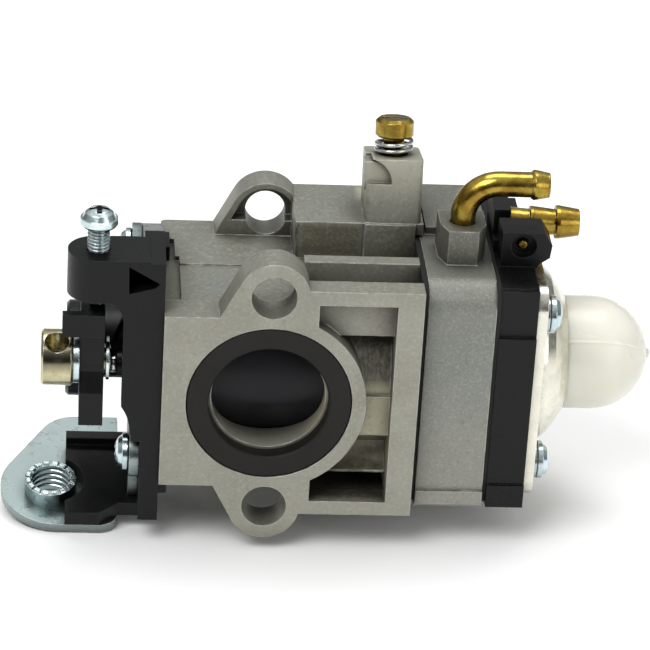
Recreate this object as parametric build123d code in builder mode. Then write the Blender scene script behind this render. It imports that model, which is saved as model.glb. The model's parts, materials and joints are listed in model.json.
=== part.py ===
"""Rotary-barrel diaphragm carburetor with a primer bulb.

Frame, in millimetres: +X towards the primer bulb, -Y out of the mounting flange,
+Z towards the mixture screw. The origin is the air port's centre on the flange face.
"""
from build123d import *
from math import cos, radians, sin
import os

os.makedirs("parts", exist_ok=True)

# ---------------------------------------------------------------- driving dimensions
# main body
BODY_LEFT = -14.2
BODY_RIGHT = 19.8
BODY_DEPTH = 30.5
LEFT_HALF_HEIGHT = 12.5
RIGHT_HALF_HEIGHT = 16.6
FLANGE_THICKNESS = 5.0
REAR_FLANGE_THICKNESS = 4.5
PORT_RADIUS = 7.6
PORT_RING_RADIUS = 12.9
REAR_SEAT_RADIUS = 7.9
REAR_SEAT_DEPTH = 3.7
SEAL_OUTER_RADIUS = 11.05
SEAL_INNER_RADIUS = 8.0
SEAL_DEPTH = 2.3
EAR_HEIGHT = 15.5
EAR_RADIUS = 4.8
EAR_HOLE_RADIUS = 3.0
REAR_EAR_HOLE_RADIUS = 2.75
EAR_FOOT_LEFT = -7.0
EAR_FOOT_RIGHT = 4.6
RAIL = 1.95
RIGHT_RAIL = 3.5
FLOOR_HEIGHT = 13.0
TOP_BLOCK_HEIGHT = 18.4
TOP_BLOCK_FRONT = 18.0
OVERHANG_RIGHT = 20.9
OVERHANG_BOTTOM = 16.8

# throttle
AXIS_Y = 15.5
BARREL_RADIUS = 10.98
BARREL_BORE_RADIUS = 11.05
BARREL_BORE_END = 12.6
BARREL_TOP = -8.2
BARREL_BOTTOM = 12.3
CROSS_BORE_RADIUS = 7.3
THROTTLE_TURN = 70.0
THROTTLE_LIFT = 2.6
SHAFT_RADIUS = 4.0
SHAFT_END = -26.0
NEEDLE_RADIUS = 0.8

# throttle side
COVER_LEFT = -16.85
HUB_FACE = -18.9
HUB_RADIUS = 8.5
COVER_FRONT = 1.2
IDLE_X = -23.0
IDLE_Y = 5.2
IDLE_TIP = 11.63
IDLE_BOSS_BOTTOM = 13.6
IDLE_BOSS_TOP = 19.7
LEVER_LEFT = -25.1
LEVER_RIGHT = -21.9
SWIVEL_Y = 5.0
SWIVEL_Z = 3.8
SWIVEL_RADIUS = 3.75
COVER_SCREWS = [(5.2, -10.4), (26.0, 10.4)]
BALL_RADIUS = 1.2
BALL_X = -20.5
BALL_ANGLE = 175.0
CAM_RADIUS = 5.55

# cable bracket
BRACKET_TILT = 13.0
SHEET = 1.3
FERRULE_X = -28.6
FERRULE_Y = 9.9
FERRULE_Z = -19.3
FERRULE_OUTER = 3.5
FERRULE_INNER = 2.55

# pump and primer stack, from the body's right face outwards
STACK_Y = 17.5
STACK_FRONT = 2.0
STACK_BACK = 33.4
STACK_HALF_HEIGHT = 16.5
PUMP_LEFT = 20.5
PUMP_RIGHT = 29.6
BASE_LEFT = 30.15
BASE_RIGHT = 35.2
PLATE_RIGHT = 36.6
SCREW_SPREAD = 11.0
SCREW_RADIUS = 1.6
CHAMBER_RADIUS = 10.3
BULB_RADIUS = 7.8
BULB_TIP = 52.9
PIVOT_X = 26.6
PIVOT_Y = 13.2

# mixture screw
TOWER_X = 16.7
TOWER_Y = 23.5
TOWER_TOP = 26.4
TOWER_LEAN = 10.0

AXIS_ORIGIN = (0, AXIS_Y, 0)
X_DIRECTION = (1, 0, 0)
stack_screws = [
    (STACK_Y + side_y * SCREW_SPREAD, side_z * SCREW_SPREAD)
    for side_y in (-1, 1)
    for side_z in (-1, 1)
]
tower_axis = (0, sin(radians(TOWER_LEAN)), cos(radians(TOWER_LEAN)))
tower_plane = Plane(origin=(TOWER_X, TOWER_Y, TOWER_TOP), x_dir=X_DIRECTION, z_dir=tower_axis)
bracket_normal = (0, -sin(radians(BRACKET_TILT)), cos(radians(BRACKET_TILT)))
bracket_plane = Plane(
    origin=(FERRULE_X, FERRULE_Y, FERRULE_Z), x_dir=X_DIRECTION, z_dir=bracket_normal
)


# ---------------------------------------------------------------- shared shapes
def block(x0, x1, y0, y1, z0, z1, mode=Mode.ADD):
    """A box between two corners."""
    with Locations(((x0 + x1) / 2, (y0 + y1) / 2, (z0 + z1) / 2)):
        Box(x1 - x0, y1 - y0, z1 - z0, mode=mode)


def rod_x(radius, x0, x1, y, z, mode=Mode.ADD):
    """A cylinder along X."""
    with Locations(((x0 + x1) / 2, y, z)):
        Cylinder(radius, x1 - x0, rotation=(0, 90, 0), mode=mode)


def rod_y(radius, y0, y1, x, z, mode=Mode.ADD):
    """A cylinder along Y."""
    with Locations((x, (y0 + y1) / 2, z)):
        Cylinder(radius, y1 - y0, rotation=(90, 0, 0), mode=mode)


def rod_z(radius, z0, z1, x, y, mode=Mode.ADD):
    """A cylinder along Z."""
    with Locations((x, y, (z0 + z1) / 2)):
        Cylinder(radius, z1 - z0, mode=mode)


def turned(profile, origin, direction, side=(0, 0, 1)):
    """A closed (length, radius) outline turned about an axis."""
    plane = Plane(origin=origin, x_dir=direction, z_dir=side)
    with BuildPart() as piece:
        with BuildSketch(plane):
            with BuildLine():
                Polyline(*profile, close=True)
            make_face()
        revolve(axis=Axis(origin, direction))
    return piece.part


def thread_profile(start, end, crest, root, pitch):
    """Crests and roots of a cut thread, from start to end."""
    turns = int((end - start) / pitch)
    step = (end - start) / turns
    points = []
    for turn in range(turns):
        points.append((start + turn * step, root))
        points.append((start + (turn + 0.5) * step, crest))
    points.append((end, root))
    return points


def pan_head(radius, height, corner):
    """Half outline of a pan head above its seat: a low dome with a rounded rim."""
    return [
        (0, radius * 0.92),
        (height * 0.12, radius),
        (height * 0.45, radius * 0.985),
        (height - corner, radius * 0.9),
        (height - corner * 0.45, radius * 0.74),
        (height - corner * 0.12, radius * 0.5),
        (height, radius * 0.25),
        (height, 0),
    ]


def coil(radius, wire, pitch, height, origin, direction):
    """A round-wire compression spring."""
    with BuildPart() as piece:
        with BuildLine() as path:
            Helix(pitch, height, radius, center=origin, direction=direction)
        with BuildSketch(Plane(origin=path.line @ 0, z_dir=path.line % 0)):
            Circle(wire)
        sweep(is_frenet=True)
    return piece.part


def ear(plane, side):
    """One flange ear: a round end drawn into the flange by two tangents."""
    foot = LEFT_HALF_HEIGHT / 2
    with BuildSketch(plane) as outline:
        with Locations((0, side * EAR_HEIGHT)):
            Circle(EAR_RADIUS)
        with Locations(((EAR_FOOT_LEFT + EAR_FOOT_RIGHT) / 2, side * foot)):
            Rectangle(EAR_FOOT_RIGHT - EAR_FOOT_LEFT, LEFT_HALF_HEIGHT)
        make_hull()
    return outline.sketch


def stack_outline(plane, inset=0.0, corner=2.5):
    """Rounded square outline shared by the pump and primer layers."""
    with BuildSketch(plane) as outline:
        with Locations(((STACK_FRONT + STACK_BACK) / 2, 0)):
            RectangleRounded(
                STACK_BACK - STACK_FRONT - 2 * inset, 2 * (STACK_HALF_HEIGHT - inset), corner
            )
    return outline.sketch


# ---------------------------------------------------------------- main body
rear_front = BODY_DEPTH - REAR_FLANGE_THICKNESS
rail_height = RIGHT_HALF_HEIGHT - RAIL
wall_left = BODY_RIGHT - RIGHT_RAIL

with BuildPart() as carburetor_body:
    # left half: a square block round the barrel bore
    block(BODY_LEFT, 4.0, 0, BODY_DEPTH, -LEFT_HALF_HEIGHT, LEFT_HALF_HEIGHT)
    for side in (1, -1):
        extrude(ear(Plane.XZ.offset(-FLANGE_THICKNESS), side), amount=FLANGE_THICKNESS)
        extrude(ear(Plane.XZ.offset(-BODY_DEPTH), side), amount=REAR_FLANGE_THICKNESS)
    rod_y(PORT_RING_RADIUS, 0, FLANGE_THICKNESS, 0, 0)
    # right half: front wall, closed barrel end, side wall and rear block
    block(4.0, BODY_RIGHT, 0, 3.4, -RIGHT_HALF_HEIGHT, RIGHT_HALF_HEIGHT)
    block(wall_left, BODY_RIGHT, 0, BODY_DEPTH, -FLOOR_HEIGHT, FLOOR_HEIGHT)
    block(3.6, BODY_RIGHT, 9.0, BODY_DEPTH, -FLOOR_HEIGHT, FLOOR_HEIGHT)
    block(4.0, BODY_RIGHT, 3.0, 9.0, FLOOR_HEIGHT - 2.0, FLOOR_HEIGHT)
    block(4.0, BODY_RIGHT, 3.0, 9.0, -FLOOR_HEIGHT, 2.0 - FLOOR_HEIGHT)
    block(3.6, BODY_RIGHT, TOP_BLOCK_FRONT, BODY_DEPTH, FLOOR_HEIGHT, TOP_BLOCK_HEIGHT)
    block(BODY_RIGHT - 1, OVERHANG_RIGHT, TOP_BLOCK_FRONT, BODY_DEPTH, OVERHANG_BOTTOM, TOP_BLOCK_HEIGHT)
    block(3.6, BODY_RIGHT, TOP_BLOCK_FRONT, BODY_DEPTH, -RIGHT_HALF_HEIGHT, -FLOOR_HEIGHT)
    rod_x(12.5, 3.0, wall_left + 0.5, AXIS_Y, 0)
    # stiffening ribs across the top and the bottom of the right half
    block(4.4, BODY_RIGHT, 9.1, 11.3, FLOOR_HEIGHT - 1, RIGHT_HALF_HEIGHT)
    block(4.4, BODY_RIGHT, 9.1, 11.3, -RIGHT_HALF_HEIGHT, 1 - FLOOR_HEIGHT)
    # leaning screw tower on its foot
    block(TOWER_X - 3.8, BODY_RIGHT, 17.6, 26.0, FLOOR_HEIGHT - 1, TOP_BLOCK_HEIGHT)
    with BuildSketch(tower_plane):
        RectangleRounded(7.6, 8.0, 0.6)
    extrude(amount=-9.5)
    # pocket right of the port, down to the barrel housing
    with BuildSketch(Plane.XZ.offset(-9.0)):
        with Locations(((6.0 + wall_left) / 2, 0)):
            Rectangle(wall_left - 6.0, 2 * (rail_height - 0.05))
        Circle(PORT_RING_RADIUS, mode=Mode.SUBTRACT)
    extrude(amount=9.0, mode=Mode.SUBTRACT)
    rod_x(12.5, 6.0, wall_left + 0.5, AXIS_Y, 0)
    block(6.0, wall_left + 0.2, 2.4, 3.4, 9.2, rail_height)
    block(6.0, wall_left + 0.2, 3.3, 9.5, 9.2, FLOOR_HEIGHT - 0.1)
    block(6.0, wall_left + 0.2, 2.5, 9.5, -5.7, 0.1)
    block(6.0, wall_left + 0.2, 3.3, 9.5, -RIGHT_HALF_HEIGHT, -rail_height)
    # hollowed step under the middle rib
    with BuildSketch(Plane.YZ.offset(6.0)):
        with BuildLine():
            Polyline((3.0, -11.6), (9.6, -11.6), (9.6, -5.2), (6.5, -5.2), (6.4, -8.0))
            ThreePointArc((6.4, -8.0), (5.37, -10.57), (3.0, -11.6))
        make_face()
    extrude(amount=wall_left - 5.8)
    # air port, seal seat and barrel bore
    rod_y(PORT_RADIUS, -1, BODY_DEPTH + 1, 0, 0, Mode.SUBTRACT)
    rod_y(REAR_SEAT_RADIUS, BODY_DEPTH - REAR_SEAT_DEPTH, BODY_DEPTH + 1, 0, 0, Mode.SUBTRACT)
    rod_y(SEAL_OUTER_RADIUS, -1, SEAL_DEPTH, 0, 0, Mode.SUBTRACT)
    rod_x(BARREL_BORE_RADIUS, BODY_LEFT - 1, BARREL_BORE_END, AXIS_Y, 0, Mode.SUBTRACT)
    # mounting holes and the recess in the upper rear ear
    for side in (1, -1):
        rod_y(EAR_HOLE_RADIUS, -1, FLANGE_THICKNESS + 0.5, 0, side * EAR_HEIGHT, Mode.SUBTRACT)
        rod_y(REAR_EAR_HOLE_RADIUS, rear_front - 1, BODY_DEPTH + 1, 0, side * EAR_HEIGHT,
              Mode.SUBTRACT)
    with BuildSketch(Plane.XZ.offset(-(rear_front + 2.2))):
        with Locations((0, EAR_HEIGHT)):
            Circle(EAR_RADIUS - 0.8)
        with Locations(((EAR_FOOT_LEFT + 1.1) / 2, LEFT_HALF_HEIGHT / 2)):
            Rectangle(-EAR_FOOT_LEFT - 1.1, LEFT_HALF_HEIGHT)
        make_hull()
        with Locations((0, (EAR_HEIGHT - 0.7) / 2)):
            Rectangle(16, EAR_HEIGHT - 0.7, mode=Mode.SUBTRACT)
        with Locations((3.6 + 2.0, EAR_HEIGHT)):
            Rectangle(4.0, 12.0, mode=Mode.SUBTRACT)
    extrude(amount=2.3, mode=Mode.SUBTRACT)
    # machined flat on the left block's top, with a channel along its left side
    block(BODY_LEFT - 1, -11.9, 5.2, 18.9, LEFT_HALF_HEIGHT - 0.8, LEFT_HALF_HEIGHT + 1, Mode.SUBTRACT)
    block(-12.0, -2.6, 5.4, 16.4, LEFT_HALF_HEIGHT - 0.25, LEFT_HALF_HEIGHT + 1, Mode.SUBTRACT)
    block(BODY_LEFT - 1, -12.5, 18.8, 24.4, LEFT_HALF_HEIGHT - 0.9, LEFT_HALF_HEIGHT + 1,
          Mode.SUBTRACT)
    # notch in the tower's front face
    with BuildSketch(Plane(origin=tower_plane.origin, x_dir=X_DIRECTION,
                           z_dir=(0, -tower_axis[2], tower_axis[1]))):
        with Locations((-3.9, -3.4)):
            Circle(3.5)
        with Locations((-3.9, -5.4)):
            Rectangle(8, 4, mode=Mode.SUBTRACT)
        with Locations((-6.2, -3.4)):
            Rectangle(4, 8, mode=Mode.SUBTRACT)
    extrude(amount=5.0, mode=Mode.SUBTRACT)
    with BuildSketch(Plane(origin=tower_plane.origin, x_dir=X_DIRECTION,
                           z_dir=(0, -tower_axis[2], tower_axis[1]))):
        with Locations((-2.0, -2.4)):
            Rectangle(4.2, 3.8)
    extrude(amount=3.1)
    # mixture screw bore, with a wider mouth for its spring
    with Locations(tower_plane):
        Cylinder(1.65, 13.0, align=(Align.CENTER, Align.CENTER, Align.MAX), mode=Mode.SUBTRACT)
        Cylinder(2.1, 3.2, align=(Align.CENTER, Align.CENTER, Align.MAX), mode=Mode.SUBTRACT)
    # screw holes, nozzle bore and the seat of the welch plug
    for y, z in stack_screws:
        rod_x(SCREW_RADIUS + 0.03, 16.5, BODY_RIGHT + 1, y, z, Mode.SUBTRACT)
    for y, z in COVER_SCREWS:
        rod_x(1.28, BODY_LEFT - 1, BODY_LEFT + 8.2, y, z, Mode.SUBTRACT)
    rod_x(1.73, BARREL_BORE_END - 1, BODY_RIGHT + 1, AXIS_Y, 0, Mode.SUBTRACT)
    rod_z(3.55, -RIGHT_HALF_HEIGHT - 1, 0.8 - RIGHT_HALF_HEIGHT, 11.0, 24.0, Mode.SUBTRACT)
    # soft casting corners on the block's upright edges
    upright = carburetor_body.edges().filter_by(Axis.Z).filter_by(
        lambda edge: edge.center().X < BODY_LEFT + 0.1 and edge.center().Y > BODY_DEPTH - 0.1
    )
    fillet(upright, radius=0.8)
carburetor_body.part.label = "carburetor_body"
export_step(carburetor_body.part, "parts/carburetor_body.step")

with BuildPart() as port_seal_ring:
    rod_y(SEAL_OUTER_RADIUS - 0.02, 0, SEAL_DEPTH, 0, 0)
    rod_y(SEAL_INNER_RADIUS, -1, SEAL_DEPTH + 1, 0, 0, Mode.SUBTRACT)
    chamfer(port_seal_ring.edges().filter_by(GeomType.CIRCLE).group_by(Axis.Y)[0], length=0.25)
port_seal_ring.part.label = "port_seal_ring"
export_step(port_seal_ring.part, "parts/port_seal_ring.step")

with BuildPart() as welch_plug:
    rod_z(3.5, -RIGHT_HALF_HEIGHT + 0.1, 0.75 - RIGHT_HALF_HEIGHT, 11.0, 24.0)
    with Locations((11.0, 24.0, -RIGHT_HALF_HEIGHT - 6.6)):
        Sphere(7.0, mode=Mode.SUBTRACT)
welch_plug.part.label = "welch_plug"
export_step(welch_plug.part, "parts/welch_plug.step")

# ---------------------------------------------------------------- throttle barrel and needle
with BuildPart() as throttle_barrel:
    rod_x(BARREL_RADIUS, BARREL_TOP, BARREL_BOTTOM, AXIS_Y, 0)
    chamfer(throttle_barrel.edges().filter_by(GeomType.CIRCLE), length=0.3)
    rod_x(SHAFT_RADIUS, SHAFT_END, BARREL_TOP, AXIS_Y, 0)
    # the cross bore lines up with the port after a full turn and a full lift
    with Locations(Location((THROTTLE_LIFT, AXIS_Y, 0), (-THROTTLE_TURN, 0, 0))):
        Cylinder(CROSS_BORE_RADIUS, 4 * BARREL_RADIUS, rotation=(90, 0, 0), mode=Mode.SUBTRACT)
    rod_x(2.0, 0, BARREL_BOTTOM + 1, AXIS_Y, 0, Mode.SUBTRACT)
    rod_x(NEEDLE_RADIUS + 0.05, -23.0, 0, AXIS_Y, 0, Mode.SUBTRACT)
    rod_x(1.65, -22.9, -20.8, AXIS_Y, 0, Mode.SUBTRACT)
    rod_x(2.0, SHAFT_END - 1, -22.6, AXIS_Y, 0, Mode.SUBTRACT)
throttle_barrel.part.label = "throttle_barrel"
export_step(throttle_barrel.part, "parts/throttle_barrel.step")

needle_outline = [
    (-22.4, 0), (-22.4, 1.4), (-22.2, 1.6), (-21.0, 1.6), (-21.0, NEEDLE_RADIUS),
    (1.5, NEEDLE_RADIUS), (9.0, 0.4), (9.6, 0),
]
metering_needle = BuildPart()
with metering_needle:
    add(turned(needle_outline, AXIS_ORIGIN, X_DIRECTION))
metering_needle.part.label = "metering_needle"
export_step(metering_needle.part, "parts/metering_needle.step")

with BuildPart() as needle_adjuster:
    rod_x(1.96, -25.6, -22.65, AXIS_Y, 0)
    block(-26, -24.8, AXIS_Y - 2.2, AXIS_Y + 2.2, -0.3, 0.3, Mode.SUBTRACT)
needle_adjuster.part.label = "needle_adjuster"
export_step(needle_adjuster.part, "parts/needle_adjuster.step")

with BuildPart() as main_nozzle:
    rod_x(1.7, 3.0, 17.0, AXIS_Y, 0)
    rod_x(0.92, 2.0, 18.0, AXIS_Y, 0, Mode.SUBTRACT)
main_nozzle.part.label = "main_nozzle"
export_step(main_nozzle.part, "parts/main_nozzle.step")

with BuildPart() as main_jet:
    rod_x(1.7, 17.0, 19.4, AXIS_Y, 0)
    rod_x(0.35, 16.0, 20.0, AXIS_Y, 0, Mode.SUBTRACT)
    block(18.8, 20.0, AXIS_Y - 2, AXIS_Y + 2, -0.25, 0.25, Mode.SUBTRACT)
main_jet.part.label = "main_jet"
export_step(main_jet.part, "parts/main_jet.step")

barrel_spring = BuildPart()
with barrel_spring:
    add(coil(7.4, 0.45, 1.9, 4.5, (-13.45, AXIS_Y, 0), X_DIRECTION))
barrel_spring.part.label = "barrel_spring"
export_step(barrel_spring.part, "parts/barrel_spring.step")

# ---------------------------------------------------------------- throttle lever and swivel
ramp_middle = BALL_ANGLE - THROTTLE_TURN / 2
ramp_slope = THROTTLE_LIFT / 2 / (CAM_RADIUS * sin(radians(THROTTLE_TURN / 2)))
downhill = radians(ramp_middle + 90)

# the cam is a ring cut by a tilted plane, so that turning over the ball lifts the barrel
with BuildPart() as cam_ring:
    with BuildSketch(Plane.YZ.offset(LEVER_RIGHT - 0.1)):
        with Locations((AXIS_Y, 0)):
            Circle(6.5)
            Circle(4.6, mode=Mode.SUBTRACT)
    extrude(amount=2.8)
    split(
        bisect_by=Plane(
            origin=(LEVER_RIGHT + THROTTLE_LIFT / 2, AXIS_Y, 0),
            z_dir=(1, ramp_slope * cos(downhill), ramp_slope * sin(downhill)),
        ),
        keep=Keep.BOTTOM,
    )

with BuildPart() as throttle_lever:
    with BuildSketch(Plane.YZ.offset(LEVER_LEFT)):
        with BuildLine():
            Polyline(
                (1.6, 11.6), (7.6, 11.6), (9.5, 7.4), (AXIS_Y, 7.0), (AXIS_Y, -7.0),
                (9.5, -6.2), (6.0, -4.8), (2.0, -4.8), (2.0, -0.05), (3.0, 2.75),
                (3.0, 8.4), (1.6, 8.4), close=True,
            )
        make_face()
        with Locations((AXIS_Y, 0)):
            Circle(7.0)
    extrude(amount=LEVER_RIGHT - LEVER_LEFT)
    rod_x(6.5, -26.9, LEVER_LEFT, AXIS_Y, 0)
    block(-27.5, LEVER_LEFT, 1.6, 3.0, 8.4, 11.6)
    add(cam_ring.part)
    rod_x(SHAFT_RADIUS + 0.02, -26.2, -18.0, AXIS_Y, 0, Mode.SUBTRACT)
    rod_x(2.4, -28.0, -25.0, AXIS_Y, 0, Mode.SUBTRACT)
    rod_x(1.95, -26.0, -21.0, SWIVEL_Y, SWIVEL_Z, Mode.SUBTRACT)
    outer_rim = throttle_lever.edges().filter_by(GeomType.CIRCLE).filter_by(
        lambda edge: abs(edge.radius - 6.5) < 0.01 and edge.center().X < -26.8
    )
    chamfer(outer_rim, length=0.4)
throttle_lever.part.label = "throttle_lever"
export_step(throttle_lever.part, "parts/throttle_lever.step")

swivel_outline = [
    (-30.2, 0), (-30.2, SWIVEL_RADIUS - 0.3), (-29.9, SWIVEL_RADIUS), (-26.25, SWIVEL_RADIUS),
    (-25.95, SWIVEL_RADIUS - 0.3), (-25.95, 1.9), (-21.65, 1.9), (-21.65, 1.5), (-21.15, 1.5),
    (-21.15, 1.9), (-21.0, 1.8), (-21.0, 0),
]
swivel_blank = turned(swivel_outline, (0, SWIVEL_Y, SWIVEL_Z), X_DIRECTION)
with BuildPart() as cable_swivel:
    add(swivel_blank)
    # ball pocket, open to the upper front, and the hole that the cable runs down
    with Locations(Location((-28.1, SWIVEL_Y, SWIVEL_Z), (30, 0, 0))):
        with Locations((0, 0, -0.9)):
            Cylinder(1.6, 8.0, align=(Align.CENTER, Align.CENTER, Align.MIN), mode=Mode.SUBTRACT)
    rod_z(0.6, SWIVEL_Z - 4.8, SWIVEL_Z + 0.2, -28.2, SWIVEL_Y - 0.15, Mode.SUBTRACT)
cable_swivel.part.label = "cable_swivel"
export_step(cable_swivel.part, "parts/cable_swivel.step")

with BuildPart() as swivel_clip:
    rod_x(3.4, -25.9, LEVER_LEFT - 0.05, SWIVEL_Y, SWIVEL_Z)
    rod_x(1.95, -27.0, -25.0, SWIVEL_Y, SWIVEL_Z, Mode.SUBTRACT)
    rod_x(2.9, -21.6, -21.2, SWIVEL_Y, SWIVEL_Z)
    rod_x(1.6, -22.0, -21.0, SWIVEL_Y, SWIVEL_Z, Mode.SUBTRACT)
swivel_clip.part.label = "swivel_clip"
export_step(swivel_clip.part, "parts/swivel_clip.step")

# ---------------------------------------------------------------- throttle cover
cover_outline = [
    (COVER_FRONT, -18.6), (COVER_FRONT, 19.5), (11.5, 19.5), (29.4, 12.4),
    (29.4, -9.0), (20.5, -16.6),
]
ball_y = AXIS_Y + CAM_RADIUS * cos(radians(BALL_ANGLE))
ball_z = CAM_RADIUS * sin(radians(BALL_ANGLE))

with BuildPart() as throttle_cover:
    with BuildSketch(Plane.YZ.offset(COVER_LEFT)):
        with BuildLine():
            Polyline(*cover_outline, close=True)
        make_face()
    extrude(amount=BODY_LEFT - COVER_LEFT)
    rod_x(HUB_RADIUS, HUB_FACE, COVER_LEFT, AXIS_Y, 0)
    rod_x(1.7, BALL_X + 0.4, HUB_FACE, ball_y, ball_z)
    # front rib: full height below the idle boss, running out above the lower screw
    with BuildSketch(Plane.XZ.offset(-3.8)):
        with BuildLine():
            Line((COVER_LEFT + 0.5, 16.0), (-22.6, 14.2))
            RadiusArc((-22.6, 14.2), (-19.5, 10.4), 3.6)
            Line((-19.5, 10.4), (-19.5, -1.5))
            RadiusArc((-19.5, -1.5), (-18.3, -5.0), 6.5)
            Line((-18.3, -5.0), (-18.0, -6.7))
            Line((-18.0, -6.7), (COVER_LEFT + 0.5, -6.7))
            Line((COVER_LEFT + 0.5, -6.7), (COVER_LEFT + 0.5, 16.0))
        make_face()
    extrude(amount=3.8 - COVER_FRONT)
    # boss of the idle speed screw
    with BuildSketch(Plane.XY.offset(IDLE_BOSS_BOTTOM)):
        with Locations((IDLE_X, IDLE_Y)):
            Circle(4.0)
        with Locations(((IDLE_X + BODY_LEFT) / 2 - 1.0, IDLE_Y)):
            Rectangle(BODY_LEFT - IDLE_X - 2.0, 8.0)
    extrude(amount=IDLE_BOSS_TOP - IDLE_BOSS_BOTTOM)
    rod_z(1.56, IDLE_BOSS_BOTTOM - 1, IDLE_BOSS_TOP + 1, IDLE_X, IDLE_Y, Mode.SUBTRACT)
    # three-cornered pocket beside the boss
    with BuildSketch(Plane.XZ.offset(-6.2)):
        with BuildLine():
            Polyline((-19.0, 19.0), (-14.9, 16.6), (-15.6, 15.9), (-18.9, 15.0), close=True)
        make_face()
    extrude(amount=6.0, mode=Mode.SUBTRACT)
    # foot over the bracket's plate, cut away round the ferrule
    with BuildSketch(bracket_plane):
        with BuildLine():
            Polyline((2.0, -6.7), (6.6, -6.7), (9.1, -4.6), (13.9, -4.6), (13.9, 8.7),
                     (2.0, 8.7), close=True)
        make_face()
        Circle(4.6, mode=Mode.SUBTRACT)
    extrude(amount=2.2)
    with BuildSketch(bracket_plane.offset(2.2)):
        with Locations((7.9, 7.95)):
            Rectangle(11.8, 1.5)
    extrude(amount=1.2)
    # locating lugs on the body's edges
    block(BODY_LEFT - 0.5, BODY_LEFT + 1.1, 2.0, 6.0, -14.8, -LEFT_HALF_HEIGHT - 0.05)
    block(BODY_LEFT - 0.5, BODY_LEFT + 1.0, 19.2, 24.0, LEFT_HALF_HEIGHT - 0.85, 13.6)
    # room for the bracket's upright, the shaft, its seal, the ball and the screws
    with BuildSketch(bracket_plane.offset(-1)):
        with Locations((11.05, 3.3)):
            Rectangle(1.4, 13.0)
    extrude(amount=6.0, mode=Mode.SUBTRACT)
    rod_x(SHAFT_RADIUS + 0.06, -22, -13, AXIS_Y, 0, Mode.SUBTRACT)
    rod_x(5.7, -15.8, -13, AXIS_Y, 0, Mode.SUBTRACT)
    rod_x(BALL_RADIUS + 0.02, BALL_X, BALL_X + BALL_RADIUS + 0.02, ball_y, ball_z, Mode.SUBTRACT)
    for y, z in COVER_SCREWS:
        rod_x(1.6, COVER_LEFT - 3.0, -13, y, z, Mode.SUBTRACT)
throttle_cover.part.label = "throttle_cover"
export_step(throttle_cover.part, "parts/throttle_cover.step")

with BuildPart() as shaft_seal:
    rod_x(5.65, -15.7, -14.3, AXIS_Y, 0)
    rod_x(SHAFT_RADIUS + 0.04, -16, -14, AXIS_Y, 0, Mode.SUBTRACT)
shaft_seal.part.label = "shaft_seal"
export_step(shaft_seal.part, "parts/shaft_seal.step")

with BuildPart() as lift_ball:
    with Locations((BALL_X, ball_y, ball_z)):
        Sphere(BALL_RADIUS)
lift_ball.part.label = "lift_ball"
export_step(lift_ball.part, "parts/lift_ball.step")

# ---------------------------------------------------------------- cable bracket and ferrule
upright_right = COVER_LEFT - 0.05
upright_left = upright_right - SHEET
plate_reach = upright_right - FERRULE_X

with BuildPart() as cable_bracket:
    with BuildSketch(bracket_plane):
        with Locations((1.3, 1.4)):
            Circle(8.1)
        with Locations((3.2, 10.6)):
            Circle(5.0)
        with Locations((6.6, -4.2)):
            Circle(2.5)
        with Locations((8.6, 15.1)):
            Rectangle(1.0, 1.0)
        make_hull()
    extrude(amount=-SHEET)
    with BuildSketch(bracket_plane):
        with Locations(((plate_reach + 8.0) / 2, 3.3)):
            Rectangle(plate_reach - 8.0, 11.6)
    extrude(amount=-SHEET)
    # upright leg: an eye round the cover's hub with a lug at each screw
    with BuildSketch(Plane.YZ.offset(upright_left)):
        with Locations((AXIS_Y, 0)):
            Circle(11.4)
        with Locations(COVER_SCREWS[1]):
            Circle(3.3)
        make_hull()
    extrude(amount=SHEET)
    with BuildSketch(Plane.YZ.offset(upright_left)):
        with Locations((AXIS_Y, 0)):
            Circle(9.0)
        with Locations(COVER_SCREWS[0]):
            Circle(3.3)
        with BuildLine():
            Polyline((7.6, -21.2), (17.4, -18.9), (21.0, -9.0), (8.0, -9.0), (3.4, -9.4), close=True)
        make_face()
        with Locations((AXIS_Y, 0)):
            Circle(9.0, mode=Mode.SUBTRACT)
    extrude(amount=SHEET)
    rod_x(9.0, -20, -15, AXIS_Y, 0, Mode.SUBTRACT)
    for y, z in COVER_SCREWS:
        rod_x(1.65, -20, -15, y, z, Mode.SUBTRACT)
    with Locations(bracket_plane):
        Cylinder(FERRULE_OUTER - 0.4, 8, mode=Mode.SUBTRACT)
cable_bracket.part.label = "cable_bracket"
export_step(cable_bracket.part, "parts/cable_bracket.step")

ferrule_base = tuple(
    start + step * -1.9 for start, step in zip((FERRULE_X, FERRULE_Y, FERRULE_Z), bracket_normal)
)
ferrule_outline = [
    (0, FERRULE_INNER), (0, FERRULE_OUTER - 0.4), (1.9, FERRULE_OUTER - 0.4),
    (1.9, FERRULE_OUTER), (4.3, FERRULE_OUTER), (4.5, FERRULE_OUTER - 0.2),
    (4.5, FERRULE_INNER + 0.25), (4.25, FERRULE_INNER),
]
for turn in range(4):
    crest = 3.85 - 0.9 * turn
    ferrule_outline += [
        (crest, FERRULE_INNER), (crest - 0.25, FERRULE_INNER + 0.38), (crest - 0.5, FERRULE_INNER)
    ]
ferrule_blank = turned(ferrule_outline, ferrule_base, bracket_normal, X_DIRECTION)
with BuildPart() as cable_ferrule:
    add(ferrule_blank)
    with Locations(bracket_plane.offset(2.6)):
        with PolarLocations(FERRULE_OUTER - 0.45, 16):
            Box(1.6, 0.35, 0.5, mode=Mode.SUBTRACT)
cable_ferrule.part.label = "cable_ferrule"
export_step(cable_ferrule.part, "parts/cable_ferrule.step")

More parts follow.
